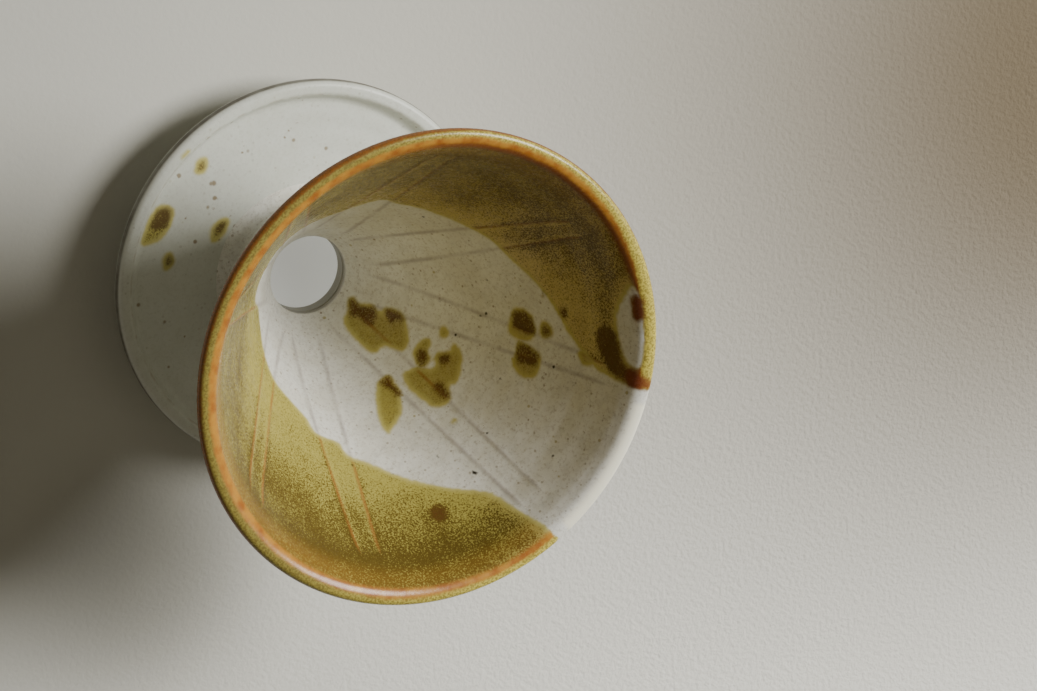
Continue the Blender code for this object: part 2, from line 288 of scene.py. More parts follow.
def filled_in(points, gaps):
    """The closed outline with extra points wherever two lie further apart than their gap."""
    dense = []
    for here, ahead, gap in zip(points, np.roll(points, -1, axis=0), gaps):
        length = np.linalg.norm(ahead - here)
        if length < 1e-4:
            continue
        steps = max(1, int(np.ceil(length / gap)))
        dense += [here + (ahead - here) * k / steps for k in range(steps)]
    return np.array(dense)


def outline_normals(outline):
    """Unit normals of a closed outline that runs down its outer side."""
    run = np.roll(outline, -1, axis=0) - np.roll(outline, 1, axis=0)
    normals = np.stack([-run[:, 1], run[:, 0]], axis=1)
    return normals / np.linalg.norm(normals, axis=1)[:, None]


def from_crest(outline):
    """Signed mm along the outline from its highest point: inside negative, outside positive."""
    steps = np.linalg.norm(np.roll(outline, -1, axis=0) - outline, axis=1)
    along = np.concatenate([[0], np.cumsum(steps)[:-1]])
    along -= along[np.argmax(outline[:, 1])]
    return (along + steps.sum() / 2) % steps.sum() - steps.sum() / 2


def smooth_step(value, low, high):
    x = np.clip((value - low) / (high - low), 0, 1)
    return x * x * (3 - 2 * x)


def wander(angle, seed, waves=(2, 3, 5)):
    """A smooth periodic wander between about -1 and 1, for hand-made unevenness."""
    random = np.random.default_rng(seed)
    phases = random.uniform(0, 2 * np.pi, len(waves))
    return sum(np.sin(w * angle + p) / (i + 1.5) for i, (w, p) in enumerate(zip(waves, phases)))


# ---- meshes


def add_object(name, data):
    """A new object in the scene."""
    made = bpy.data.objects.new(name, data)
    bpy.context.scene.collection.objects.link(made)
    return made


def add_mesh(name, points, faces, material):
    mesh = bpy.data.meshes.new(name)
    mesh.from_pydata(points, [], faces)
    mesh.materials.append(material)
    return add_object(name, mesh)


def swept(name, outline, angles, bulge, fields, material, node):
    """A closed skin: the outline swept round Z, moved along its normals, with its fields.

    angles holds each row's column angles in radians, bulge the mm to move each point by,
    and fields the values that the material reads.
    """
    rows, columns = angles.shape
    normals = outline_normals(outline)
    radius = outline[:, :1] + bulge * normals[:, :1]
    height = outline[:, 1:] + bulge * normals[:, 1:]
    points = np.stack([radius * np.cos(angles), radius * np.sin(angles), height], axis=-1)
    at = np.arange(rows * columns).reshape(rows, columns)
    below = np.roll(at, -1, axis=0)
    faces = np.stack([at, below, np.roll(below, -1, axis=1), np.roll(at, -1, axis=1)], axis=-1)
    points, faces = (points * MM).reshape(-1, 3), faces.reshape(-1, 4)
    piece = add_mesh(name, points.tolist(), faces.tolist(), material)
    mesh = piece.data
    for field, values in fields.items():
        layer = mesh.attributes.new(field, "FLOAT", "POINT")
        spread = np.broadcast_to(values, (rows, columns)).astype(np.float32)
        layer.data.foreach_set("value", spread.ravel())
    mesh.shade_smooth()
    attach(piece, "root")
    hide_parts(node)
    return piece


def even_angles(outline, columns):
    turns = np.linspace(0, 2 * np.pi, columns, endpoint=False)
    return np.broadcast_to(turns, (len(outline), columns))


# ---- surface fields


def angle_between(a, b):
    """Difference of two angles in degrees, wrapped to -180..180."""
    return (a - b + 180) % 360 - 180


def patches(outlines, turned, along, radius, place):
    """Signed mm to the nearest patch's edge, positive inside, for points on a skin.

    Each outline is a closed curve through (angle, position) points, and place gives the mm
    along the skin of a position.
    """
    total = np.full(np.broadcast(turned, along).shape, -REACH)
    turned, along, radius = (np.broadcast_to(v, total.shape) for v in (turned, along, radius))
    for outline in outlines:
        closed = np.array(outline[-1:] + outline + outline[:2], float)
        edge = curve_through(closed)[10:-11]
        edge[:, 1] = place(edge[:, 1])
        middle = edge.mean(axis=0)
        turn, edge_turn = angle_between(turned, middle[0]), edge[:, 0] - middle[0]
        spread = np.radians(np.abs(turn) - np.abs(edge_turn).max()) * radius
        near = (spread < REACH) & (np.abs(along - middle[1]) < np.ptp(edge[:, 1]) + REACH)
        t, y, r = turn[near], along[near], radius[near]
        gap = np.full(t.shape, REACH)
        within = np.zeros(t.shape, bool)
        corners = np.stack([edge_turn, edge[:, 1]], axis=1)
        for (t0, y0), (t1, y1) in zip(corners, np.roll(corners, -1, axis=0)):
            gap = np.minimum(gap, np.hypot(np.radians(t - t0) * r, y - y0))
            crosses = (y0 > y) != (y1 > y)
            within ^= crosses & (t < t0 + (y - y0) / (y1 - y0 + 1e-12) * (t1 - t0))
        total[near] = np.maximum(total[near], np.where(within, gap, -gap))
    return total


def specks(dots, turned, along, radius, place):
    """Signed mm to the nearest round speck's edge, positive inside."""
    total = np.full(np.broadcast(turned, along).shape, -REACH)
    for angle, where, size in dots:
        across = np.radians(angle_between(turned, angle)) * radius
        total = np.maximum(total, size - np.hypot(across, along - place(where)))
    return total


def curve_through(points, steps=10):
    """A smooth open curve through the points (Catmull-Rom)."""
    p = np.array(points, float)
    p = np.vstack([2 * p[0] - p[1], p, 2 * p[-1] - p[-2]])
    s = np.linspace(0, 1, steps, endpoint=False)[:, None]
    stretches = [
        0.5 * (2 * b + (c - a) * s + (2 * a - 5 * b + 4 * c - d) * s**2
               + (3 * b - a - 3 * c + d) * s**3)
        for a, b, c, d in zip(p[:-3], p[1:-2], p[2:-1], p[3:])
    ]
    return np.vstack(stretches + [p[-2:-1]])


class Cone:
    """The cone's skin, its columns bent to follow the ribs, and the fields drawn on it."""

    def __init__(self):
        self.outline = rounded(self.corners(), CONE_GAPS)
        r, z = self.outline[:, :1], self.outline[:, 1:]
        self.radius = r
        self.crest = from_crest(self.outline)[:, None]
        self.share = (z - HOLE_TOP) / (RIM_Z - HOLE_TOP)
        middle = (self.wall_radius(z) + self.outside_radius(z)) / 2
        self.inside = (r < middle) & (z >= HOLE_TOP - HOLE_EDGE)
        self.angles = np.radians(self.column_angles())
        self.degrees = np.degrees(self.angles) % 360
        self.skin = (self.degrees, self.crest, self.radius, self.crest_of_share)

    @staticmethod
    def wall_radius(z):
        return HOLE_RADIUS + (z - HOLE_TOP) * np.tan(CONE_HALF_ANGLE)

    @staticmethod
    def outside_radius(z):
        return FOOT_RADIUS + (z - FOOT_TOP) * np.tan(OUTER_HALF_ANGLE)

    def corners(self):
        """Rim, outer wall, foot, drain hole, inner wall and shoulder."""
        shoulder_z = HOLE_TOP + SHOULDER_SHARE * (RIM_Z - HOLE_TOP)
        lip_z = RIM_TOP - LIP_HEIGHT
        lip_r = self.wall_radius(lip_z) - LIP_THICKENING
        half_turn = (np.pi / 2 - OUTER_HALF_ANGLE) / 2
        outer_top = RIM_RADIUS - 0.03 + LIP_OUTSIDE * (1 / np.tan(half_turn) - 1)
        return [
            (outer_top, RIM_TOP, LIP_OUTSIDE),
            (FOOT_RADIUS, FOOT_TOP, 3.0),
            (FOOT_RADIUS, SAUCER_TOP + SEAM, 0.3),
            (HOLE_RADIUS, SAUCER_TOP + SEAM, 0.25),
            (HOLE_RADIUS, HOLE_TOP - 0.2, 1.3),
            (self.wall_radius(shoulder_z), shoulder_z, 20),
            (lip_r, lip_z, 10.0),
            (lip_r + LIP_HEIGHT * np.tan(LIP_FLARE), RIM_TOP, LIP_INSIDE),
        ]

    def column_share(self):
        """The share whose rib angles each row's columns take."""
        across_foot = (self.radius - HOLE_RADIUS) / (FOOT_RADIUS - HOLE_RADIUS)
        low, high = RIB_SHARES[0], RIB_SHARES[-1]
        under_hole = self.outline[:, 1:] < HOLE_TOP - HOLE_EDGE
        below = np.where(under_hole, low + (high - low) * across_foot, high)
        return np.clip(np.where(self.inside, self.share, below), low, high)

    def rib_angles(self, share):
        """Each rib's angle at a share, smooth in one over the radius, as lines on a cone are."""
        inverse = [1 / self.wall_radius(HOLE_TOP + s * (RIM_Z - HOLE_TOP)) for s in RIB_SHARES]
        u = 1 / self.wall_radius(HOLE_TOP + share * (RIM_Z - HOLE_TOP))
        total = 0
        for k, here in enumerate(inverse):
            others = [x for i, x in enumerate(inverse) if i != k]
            weight = (u - others[0]) * (u - others[1]) / (here - others[0]) / (here - others[1])
            total = total + weight * np.array(RIBS)[:, k][None, :]
        return total

    def column_angles(self):
        """Columns close together on each rib and evenly spread between ribs."""
        share = self.column_share()
        ribs = self.rib_angles(share)
        radius = self.wall_radius(HOLE_TOP + share * (RIM_Z - HOLE_TOP))
        close = np.degrees(RIB_COLUMNS * np.clip(radius / 20, 0.5, 1) / radius)
        ahead = np.roll(ribs, -1, axis=1)
        ahead[:, -1] += 360
        at_rim = np.array(RIBS)[:, 2]
        gaps = np.diff(np.append(at_rim, at_rim[0] + 360))
        columns = []
        for k, gap in enumerate(gaps):
            columns.append(ribs[:, k : k + 1] + close)
            start = ribs[:, k : k + 1] + close[:, -1:]
            end = ahead[:, k : k + 1] + close[:, :1]
            fill = max(1, round(np.radians(gap) * RIM_RADIUS / COLUMN_GAP) - 2)
            between = np.arange(1, fill + 1)[None, :] / (fill + 1)
            columns.append(start + (end - start) * between)
        return np.hstack(columns)

    def rib_distance(self):
        """mm to the nearest rib's centre line."""
        ribs = self.rib_angles(self.column_share())
        apart = np.min(np.abs(angle_between(self.degrees[:, :, None], ribs[:, None, :])), axis=2)
        return np.where(self.inside, np.radians(apart) * self.radius, NO_RIB)

    def rib_fade(self):
        """1 along a rib, easing to 0 at its ends."""
        ends = wander(self.angles, 5, (3, 7, 11)) * 0.02
        low = smooth_step(self.share + ends, *RIB_RISE)
        high = 1 - smooth_step(self.share + ends, *RIB_FALL)
        return np.where(self.inside, low * high, 0)

    def crest_of_share(self, share):
        """Position along the outline of a share on the inner wall."""
        rows = np.where(self.inside[:, 0] & (self.crest[:, 0] < 0))[0]
        order = rows[np.argsort(self.share[rows, 0])]
        along = np.interp(np.minimum(share, 1), self.share[order, 0], self.crest[order, 0])
        return along + np.maximum(share - 1, 0) * (RIM_Z - HOLE_TOP)

    def olive_distance(self):
        """Signed mm to the olive glaze's edge, positive where it covers the cone."""
        inner = curve_through(OLIVE_EDGE_INSIDE)
        inner[:, 1] = self.crest_of_share(np.clip(inner[:, 1], 0, 1))
        inner[[0, -1], 1] = 0
        outer = curve_through(OLIVE_EDGE_OUTSIDE)
        edge = np.vstack([inner, outer])
        covered = np.zeros(self.degrees.shape, bool)
        for turned in (self.degrees, self.degrees + 360):
            low = np.interp(turned, inner[:, 0], inner[:, 1], left=1, right=1)
            high = np.interp(turned, outer[:, 0], outer[:, 1], left=-1, right=-1)
            covered |= (self.crest > low) & (self.crest < high)
        nearest = np.full(self.degrees.shape, 1e9)
        for angle, along in dense_curve(edge):
            across = np.radians(angle_between(self.degrees, angle)) * self.radius
            nearest = np.minimum(nearest, across**2 + (self.crest - along) ** 2)
        signed = np.where(covered, 1, -1) * np.sqrt(nearest)
        notch = patches([NOTCH], *self.skin)
        return np.minimum(signed, np.where(self.crest < 3, -notch, REACH))

    def marks(self, outlines):
        value = patches(outlines, *self.skin)
        return np.where(self.inside | (np.abs(self.crest) < 3), value, -REACH)

    def rim_bands(self):
        """Place across the rim (-1 to 0 rust, 0 to 1 crest, 1 to 2 brown) and its paleness."""
        bands = np.array(RIM_BANDS)
        *limits, pale = [np.interp(self.degrees, bands[:, 0], bands[:, k]) for k in range(1, 6)]
        place = -1
        for start, end in zip(limits[:-1], limits[1:]):
            place = place + np.clip((self.crest - start) / (end - start), 0, 1)
        beyond = np.minimum(self.crest - limits[0], 0) + np.maximum(self.crest - limits[3], 0)
        return {"rim": place + beyond / 2, "pale": pale}

    def olive_firing(self):
        """How thick the olive glaze lies, how far it turns orange below the rim, the shade side's
        painted tones.
        """
        table = np.array(DEPTHS, float)
        columns = [np.interp(self.degrees, table[:, 0], table[:, k]) for k in range(1, 6)]
        start, full, most, blush, shade_side = columns
        low = 0.8 + 0.12 * smooth_step(start, 0.3, 0.6)
        depth = most * smooth_step(self.share, start, full)
        blush = blush * smooth_step(self.share, low, 0.98)
        return {"depth": depth, "blush": blush, "shade_side": shade_side}

    def pair_side(self):
        """1 between the two ribs of a pair, -1 just outside them."""
        ribs = self.rib_angles(self.column_share())
        apart = angle_between(self.degrees[:, :, None], ribs[:, None, :])
        nearest = np.argmin(np.abs(apart), axis=2)
        ahead = np.take_along_axis(apart, nearest[:, :, None], axis=2)[:, :, 0] > 0
        return np.where(ahead == (nearest % 2 == 0), 1.0, -1.0)

    def build(self, material):
        rib = self.rib_distance()
        fade = self.rib_fade()
        olive = np.clip(self.olive_distance(), -OLIVE_REACH, OLIVE_REACH)
        splash = self.marks(SPLASHES)
        dark = self.marks(DARK_CORES)
        spots = specks(CONE_SPECKS, *self.skin)
        bulge = RIB_HEIGHT * fade * np.exp(-((rib / RIB_WIDTH) ** 2))
        bulge = bulge + OLIVE_THICKNESS * smooth_step(olive, -0.2, 1.3)
        bulge = bulge + SPLASH_THICKNESS * smooth_step(splash, -0.2, 0.8)
        bulge = bulge + np.where(self.inside, self.inside_ripple(), self.throwing_rings())
        bulge = bulge - CONE_INSET
        fields = {
            "olive": olive,
            "splash": splash,
            "dark": dark,
            "speck": np.where(self.inside, spots, -REACH),
            "rib": np.where(fade > 0.02, rib + (1 - fade) * 0.9, NO_RIB),
            "crest": self.crest,
            "share": np.where(self.inside | (self.radius < HOLE_RADIUS + 1), self.share, 1.2),
            "pair": self.pair_side() * fade,
            **self.rim_bands(),
            **self.olive_firing(),
        }
        return swept("cone_skin", self.outline, self.angles, bulge, fields, material,
                     "cone")

    def inside_ripple(self):
        """Faint rings that the potter's rib left inside."""
        turn = self.crest / RIPPLE_PITCH + self.angles / (2 * np.pi)
        return RIPPLE_DEPTH * np.sin(2 * np.pi * turn) * smooth_step(-self.crest, 3, 10)

    def throwing_rings(self):
        """Finger rings spiralling up the outside."""
        turn = self.crest / THROWING_PITCH - self.angles / (2 * np.pi)
        turn = turn + 0.25 * wander(self.angles, 8)
        depth = THROWING_DEPTH * smooth_step(self.crest, 5, 16)
        depth = depth * (1 + 0.3 * wander(self.angles, 9))
        return depth * (np.sin(2 * np.pi * turn) - 0.8)


def dense_curve(points, spacing=0.8):
    """Points along an (angle, mm) curve, near enough together to measure from."""
    out = []
    for here, ahead in zip(points[:-1], points[1:]):
        length = np.hypot(radians(ahead[0] - here[0]) * RIM_RADIUS * 0.7, ahead[1] - here[1])
        if length > 60:
            continue
        steps = max(1, int(np.ceil(length / spacing)))
        out += [here + (ahead - here) * k / steps for k in range(steps)]
    return out


# ---- material nodes


class Net:
    """A material under construction, with short calls for the nodes it uses."""

    def __init__(self, name):
        self.material = bpy.data.materials.new(name)
        self.material.use_nodes = True
        self.tree = self.material.node_tree
        self.shader = self.tree.nodes["Principled BSDF"]
        self.place = self.node("TexCoord", {}).outputs["Object"]

    def node(self, kind, inputs, **settings):
        made = self.tree.nodes.new("ShaderNode" + kind)
        for key, value in settings.items():
            setattr(made, key, value)
        for key, value in inputs.items():
            self.set(made.inputs[key], value)
        return made

    def set(self, socket, value):
        if isinstance(value, bpy.types.NodeSocket):
            self.tree.links.new(value, socket)
        else:
            socket.default_value = value

    def field(self, name):
        return self.node("Attribute", {}, attribute_name=name).outputs["Fac"]

    def math(self, operation, a, b=0.0):
        return self.node("Math", {0: a, 1: b}, operation=operation).outputs[0]

    def times(self, a, b):
        return self.math("MULTIPLY", a, b)

    def plus(self, a, b):
        return self.math("ADD", a, b)

    def minus(self, a, b):
        return self.math("SUBTRACT", a, b)

    def step(self, value, low, high, to_low=0.0, to_high=1.0):
        """A smooth rise (or fall) of value between two levels."""
        names = ("Value", "From Min", "From Max", "To Min", "To Max")
        inputs = dict(zip(names, (value, low, high, to_low, to_high)))
        made = self.node("MapRange", inputs, interpolation_type="SMOOTHSTEP")
        return made.outputs["Result"]

    def noise(self, scale, detail=3.0, roughness=0.55):
        """Noise from 0 to 1 about a middle of 0.5, with scale features to the metre."""
        inputs = {"Vector": self.place, "Scale": scale, "Detail": detail, "Roughness": roughness}
        return self.node("TexNoise", inputs).outputs["Fac"]

    def centred_noise(self, scale, detail, amount, roughness=0.55):
        """Noise spread evenly either side of zero."""
        return self.times(self.minus(self.noise(scale, detail, roughness), 0.5), amount)

    def mix(self, amount, a, b):
        made = self.node("Mix", {}, data_type="RGBA")
        self.set(made.inputs["Factor"], amount)
        for socket, value in ((made.inputs[6], a), (made.inputs[7], b)):
            self.set(socket, value if isinstance(value, bpy.types.NodeSocket) else (*value, 1))
        return made.outputs[2]

    def layered(self, colour, layers):
        """The colour under layers of (amount from 0 to 1, the most it may cover, its colour)."""
        for amount, most, over in layers:
            colour = self.mix(self.times(amount, most), colour, over)
        return colour

    def dots(self, scale, keep, radius):
        """Round dots, 1 at their centres, in a share of the cells of a Voronoi pattern.

        keep is that share, and radius sets their size, in cells.
        """
        cells = self.node("TexVoronoi", {"Vector": self.place, "Scale": scale})
        pick = self.node("SeparateColor", {"Color": cells.outputs["Color"]})
        chosen = self.math("LESS_THAN", pick.outputs["Red"], keep)
        size = self.plus(self.times(pick.outputs["Green"], radius), radius * 0.35)
        near = self.minus(size, cells.outputs["Distance"])
        soft = self.step(near, 0, radius * 0.6)
        return self.times(soft, chosen)

    def bump(self, height, distance, strength=1.0, normal=None):
        inputs = {"Height": height, "Distance": distance, "Strength": strength}
        if normal is not None:
            inputs["Normal"] = normal
        return self.node("Bump", inputs).outputs["Normal"]

    def finish(self, colour, roughness, normal):
        self.set(self.shader.inputs["Base Color"], colour)
        self.set(self.shader.inputs["Roughness"], roughness)
        self.set(self.shader.inputs["Normal"], normal)
        return self.material


WHITE = (0.84, 0.835, 0.765)
WHITE_WARM = (0.72, 0.70, 0.60)
WHITE_DULL = (0.62, 0.61, 0.54)
SPECK = (0.22, 0.145, 0.055)
BLACK_SPECK = (0.03, 0.022, 0.012)
OLIVE_SPECK = (0.40, 0.33, 0.11)
OLIVE_LIGHT = (0.48, 0.42, 0.10)
OLIVE = (0.30, 0.25, 0.055)
OLIVE_DARK = (0.108, 0.068, 0.014)
SHADE_SIDE_OLIVE_LIGHT = (0.62, 0.50, 0.20)
SHADE_SIDE_OLIVE = (0.40, 0.31, 0.11)
HALO = (0.55, 0.49, 0.16)
SPLASH = (0.33, 0.275, 0.075)
RIM_OLIVE = (0.30, 0.245, 0.055)
RIM_PALE = (0.68, 0.57, 0.11)
RUST = (0.36, 0.125, 0.021)
RUST_DARK = (0.24, 0.08, 0.018)
STAIN = (0.20, 0.05, 0.018)
AMBER = (0.52, 0.25, 0.038)
UMBER = (0.20, 0.085, 0.02)
IRON = (0.13, 0.062, 0.018)
RIB_ON_WHITE = (0.30, 0.25, 0.235)
RIB_ON_OLIVE = (0.36, 0.15, 0.035)
WORN_AND_SHADED_EDGE = (0.09, 0.072, 0.05)
BRIM = (0.34, 0.27, 0.17)
SAUCER_TINT = (0.575, 0.61, 0.535)
LIP_WHITE_AND_PAINTED_HIGHLIGHT = (1.0, 0.965, 0.77)
HOLE_PAINTED_SHADE = (0.22, 0.20, 0.15)
CLAY = (0.47, 0.34, 0.22)
CLAY_TOASTED = (0.36, 0.23, 0.13)
CLAY_FLASH = (0.40, 0.20, 0.08)
GROG = (0.12, 0.07, 0.04)
SATIN = 0.42  # roughness of the white glaze


def white_glaze(net):
    """Satin white over iron-bearing clay: a little cloudy, with fine specks."""
    return net.layered(WHITE, [
        (net.step(net.noise(90, 5, 0.65), 0.38, 0.66), 0.75, WHITE_WARM),
        (net.step(net.noise(420, 5, 0.7), 0.45, 0.7), 0.5, WHITE_DULL),
        (net.step(net.noise(1100, 4, 0.75), 0.48, 0.7), 0.35, SPECK),
        (net.dots(800, 0.22, 0.28), 0.5, SPECK),
        (net.dots(300, 0.3, 0.14), 0.7, OLIVE_SPECK),
        (net.dots(330, 0.15, 0.13), 0.7, SPECK),
    ])


def olive_glaze(net, deep, shade_side=0.0):
    """Ash glaze: fine salt-and-pepper mottling, thicker and darker where it lies deep."""
    # On the side that the window leaves in shade the olive is painted lighter and greyer: painted
    # light.
    light = net.mix(shade_side, OLIVE_LIGHT, SHADE_SIDE_OLIVE_LIGHT)
    middle = net.mix(shade_side, OLIVE, SHADE_SIDE_OLIVE)
    grain = net.noise(2300, 3, 0.65)
    level = net.plus(grain, net.centred_noise(110, 3, 0.26, 0.6))
    level = net.minus(level, net.times(deep, 0.16))
    colour = net.mix(net.step(level, 0.38, 0.62), middle, light)
    return net.mix(net.step(level, 0.47, 0.33, 0, 0.9), colour, OLIVE_DARK)


def ragged_marks(net):
    """The noise that frays the glaze edges, and the splash and dark fields frayed by it."""
    ragged = net.centred_noise(480, 4, 1)
    splash = net.plus(net.field("splash"), ragged)
    dark = net.plus(net.field("dark"), net.times(ragged, 1.8))
    return ragged, splash, dark


def cone_material():
    net = Net("cone_glazes")
    ragged, splash, dark = ragged_marks(net)
    olive = net.plus(net.field("olive"), ragged)
    share = net.field("share")
    rib = net.field("rib")

    covered = net.math("MAXIMUM", net.math("MAXIMUM", olive, splash), dark)
    thick = net.times(net.field("depth"), net.step(olive, 0.5, 5))
    # A darker band below the lip: partly glaze pooled at the shoulder, partly painted shade in its
    # groove.
    shoulder = net.times(net.step(share, 0.86, 0.91), net.step(share, 0.97, 0.92))
    beside_rib = net.times(net.step(rib, 2, 0.5), net.field("pair"))
    beside_rib = net.times(beside_rib, net.step(share, 0.35, 0.6))
    cores = net.step(dark, -1.2, 1.1)
    deep = net.plus(thick, net.times(shoulder, 0.3))
    deep = net.minus(deep, net.times(beside_rib, 0.4))
    deep = net.plus(deep, cores)
    deep = net.minus(deep, 0.25)

    broken = net.step(net.noise(110, 4), 0.3, 0.65, 0.35, 1)
    # Over the bare lip the white glaze is painted whiter: white glaze with a painted highlight.
    lip = net.step(net.math("ABSOLUTE", net.field("crest")), 3.6, 1)
    white = net.layered(white_glaze(net), [
        # Painted shade on the cone's drain-hole wall.
        (net.step(share, 0, -0.02), 0.8, HOLE_PAINTED_SHADE),
        (net.times(net.step(rib, 1.05, 0), broken), 0.55, RIB_ON_WHITE),
        (net.times(lip, net.step(olive, -2.8, -4.5)), 1, LIP_WHITE_AND_PAINTED_HIGHLIGHT),
    ])

    # 1 on the side that the window leaves in shade, where glaze tones are painted to stand in for
    # light.
    shade_side = net.field("shade_side")
    mottled = olive_glaze(net, deep, shade_side)
    even = net.times(net.step(splash, 0, 1.5, 0, 0.5), net.minus(1, cores))
    mottled = net.mix(even, mottled, SPLASH)
    over_rib = net.times(net.step(rib, 0.75, 0.1), net.times(broken, 0.7))
    # On the side in shade the rib lines are painted darker umber: painted shade.
    mottled = net.mix(over_rib, mottled, net.mix(shade_side, RIB_ON_OLIVE, UMBER))
    mottled = net.mix(net.times(net.field("blush"), 0.6), mottled, AMBER)
    body = net.mix(net.step(covered, 0.3, 2), HALO, mottled)
    iron = net.step(net.noise(1900, 3), 0.62, 0.38, 0.45, 0.95)
    body = net.mix(net.times(cores, iron), body, IRON)
    colour = net.mix(net.step(covered, -0.55, 0.7), white, body)

    colour = rim_break(net, colour, olive, shade_side)
    on_lip = net.times(cores, net.step(share, 0.965, 0.99, 0, 0.92))
    colour = net.mix(on_lip, colour, STAIN)
    colour = net.mix(net.step(net.field("speck"), -0.25, 0.15), colour, BLACK_SPECK)

    gloss = net.step(covered, -0.4, 0.8, 0.4, 0.27)
    wall = net.step(net.math("ABSOLUTE", net.field("crest")), 2.5, 6, 0.42, 0.14)
    net.set(net.shader.inputs["Specular IOR Level"], wall)
    return net.finish(colour, wavering(net, gloss), glaze_bump(net))


def wavering(net, roughness):
    """Roughness that drifts a little about its level."""
    return net.plus(roughness, net.centred_noise(700, 3, 0.12))


def glaze_bump(net):
    """Orange-peel texture of a satin glaze over grogged clay."""
    fine = net.bump(net.noise(1500, 2), 0.00004, 0.35)
    return net.bump(net.noise(260, 3), 0.00015, 0.35, fine)


def rim_break(net, colour, olive, shade_side):
    """The olive glaze runs thin over the rim: rust inside, a pale crest, brown outside."""
    band = net.plus(net.field("rim"), net.centred_noise(170, 5, 0.45))
    band = net.plus(band, net.centred_noise(900, 3, 0.35))
    grain = net.step(net.noise(1900, 3), 0.42, 0.6)
    rust = net.mix(net.step(net.noise(260, 3), 0.3, 0.65), RUST, AMBER)
    # On the side in shade the rust is painted darker: painted shade over the glaze's own rust.
    dark_rust = net.times(net.step(band, -0.35, -0.8), net.step(shade_side, 0.3, 0.8))
    rust = net.mix(dark_rust, rust, RUST_DARK)
    rust = net.mix(net.step(shade_side, 0.88, 1, 0, 0.6), rust, RUST_DARK)
    crest = net.mix(net.field("pale"), RIM_OLIVE, RIM_PALE)
    crest = net.mix(net.times(grain, 0.58), crest, OLIVE_DARK)
    over = net.mix(net.step(band, -0.3, 0.25), rust, crest)
    brown = net.mix(net.times(grain, 0.5), UMBER, RUST)
    over = net.mix(net.step(band, 0.75, 1.2), over, brown)
    inmost = net.step(shade_side, 0, 0.6, -1.5, -2)
    within = net.times(net.step(band, inmost, -0.8), net.step(band, 2.3, 1.7))
    within = net.times(within, net.step(olive, -0.2, 0.8))
    return net.mix(within, colour, over)


def saucer_material():
    net = Net("saucer_glaze")
    splash, dark = ragged_marks(net)[1:]
    crest = net.field("crest")
    brim = net.step(net.math("ABSOLUTE", net.plus(crest, 1)), 0.6, 0.1)
    brim = net.times(brim, net.step(net.noise(300, 4), 0.4, 0.65))
    # A near-black band down the outside of the lip: partly rubbed wear, partly painted shade on
    # that face.
    edge = net.times(net.step(crest, 2.4, 3.3), net.step(crest, 5.6, 4.4))
    worn_and_shaded = net.times(edge, net.step(net.noise(200, 4), 0.2, 0.75, 0.65, 0.9))
    white = net.layered(net.mix(0.65, white_glaze(net), SAUCER_TINT), [
        (net.step(net.noise(600, 5, 0.7), 0.45, 0.7), 0.25, WHITE_DULL),
        (net.dots(330, 0.3, 0.24), 0.75, SPECK),
        (brim, 0.4, BRIM),
        (worn_and_shaded, 1, WORN_AND_SHADED_EDGE),
        # Painted shade on the saucer's drain-hole wall.
        (net.field("hole"), 0.8, HOLE_PAINTED_SHADE),
    ])
    cores = net.step(dark, -0.8, 1.2)
    mottled = olive_glaze(net, net.times(cores, 1.1))
    body = net.mix(net.step(splash, 0.3, 2), HALO, mottled)
    body = net.mix(net.times(cores, 0.35), body, IRON)
    colour = net.mix(net.step(splash, -0.55, 0.7), white, body)
    spots = net.times(net.step(net.field("speck"), -0.2, 0.15), 0.8)
    colour = net.mix(spots, colour, SPECK)
    net.set(net.shader.inputs["Specular IOR Level"], net.step(edge, 0, 1, 0.5, 0.1))
    return net.finish(colour, wavering(net, SATIN), glaze_bump(net))


def plain_white_material(name):
    net = Net(name)
    return net.finish(white_glaze(net), wavering(net, SATIN), glaze_bump(net))


def ring_material():
    """White glaze wiped back to toasted clay on the foot."""
    net = Net("ring_glaze_and_clay")
    height = net.node("SeparateXYZ", {"Vector": net.place}).outputs["Z"]
    level = net.plus(height, net.centred_noise(150, 3, 0.0016))
    flash = net.times(net.step(level, 0.0016, 0.0024), net.step(level, 0.0034, 0.0026))
    clay = net.layered(CLAY, [
        (net.step(net.noise(300, 4), 0.3, 0.7), 1, CLAY_TOASTED),
        (net.dots(700, 0.35, 0.3), 0.5, GROG),
        (flash, 1, CLAY_FLASH),
    ])
    glazed = net.step(level, 0.0026, 0.0031)
    colour = net.mix(glazed, clay, white_glaze(net))
    roughness = net.step(glazed, 0, 1, 0.85, SATIN)
    return net.finish(colour, roughness, glaze_bump(net))


# ---- the other pieces


def saucer_corners():
    """Upturned lip, underside, drain hole and flat top."""
    return [
        (SAUCER_RADIUS + 0.05, SAUCER_LIP_TOP, 1.65),
        (SAUCER_RADIUS - 0.05, 11.3, 1.4),
        (46.2, SAUCER_UNDER, 5.0),
        (HOLE_RADIUS, SAUCER_UNDER, 0.6),
        (HOLE_RADIUS, SAUCER_TOP, 0.25),
        (46.9, SAUCER_TOP, 2.2),
        (48.7, SAUCER_LIP_TOP, 1.5),
    ]


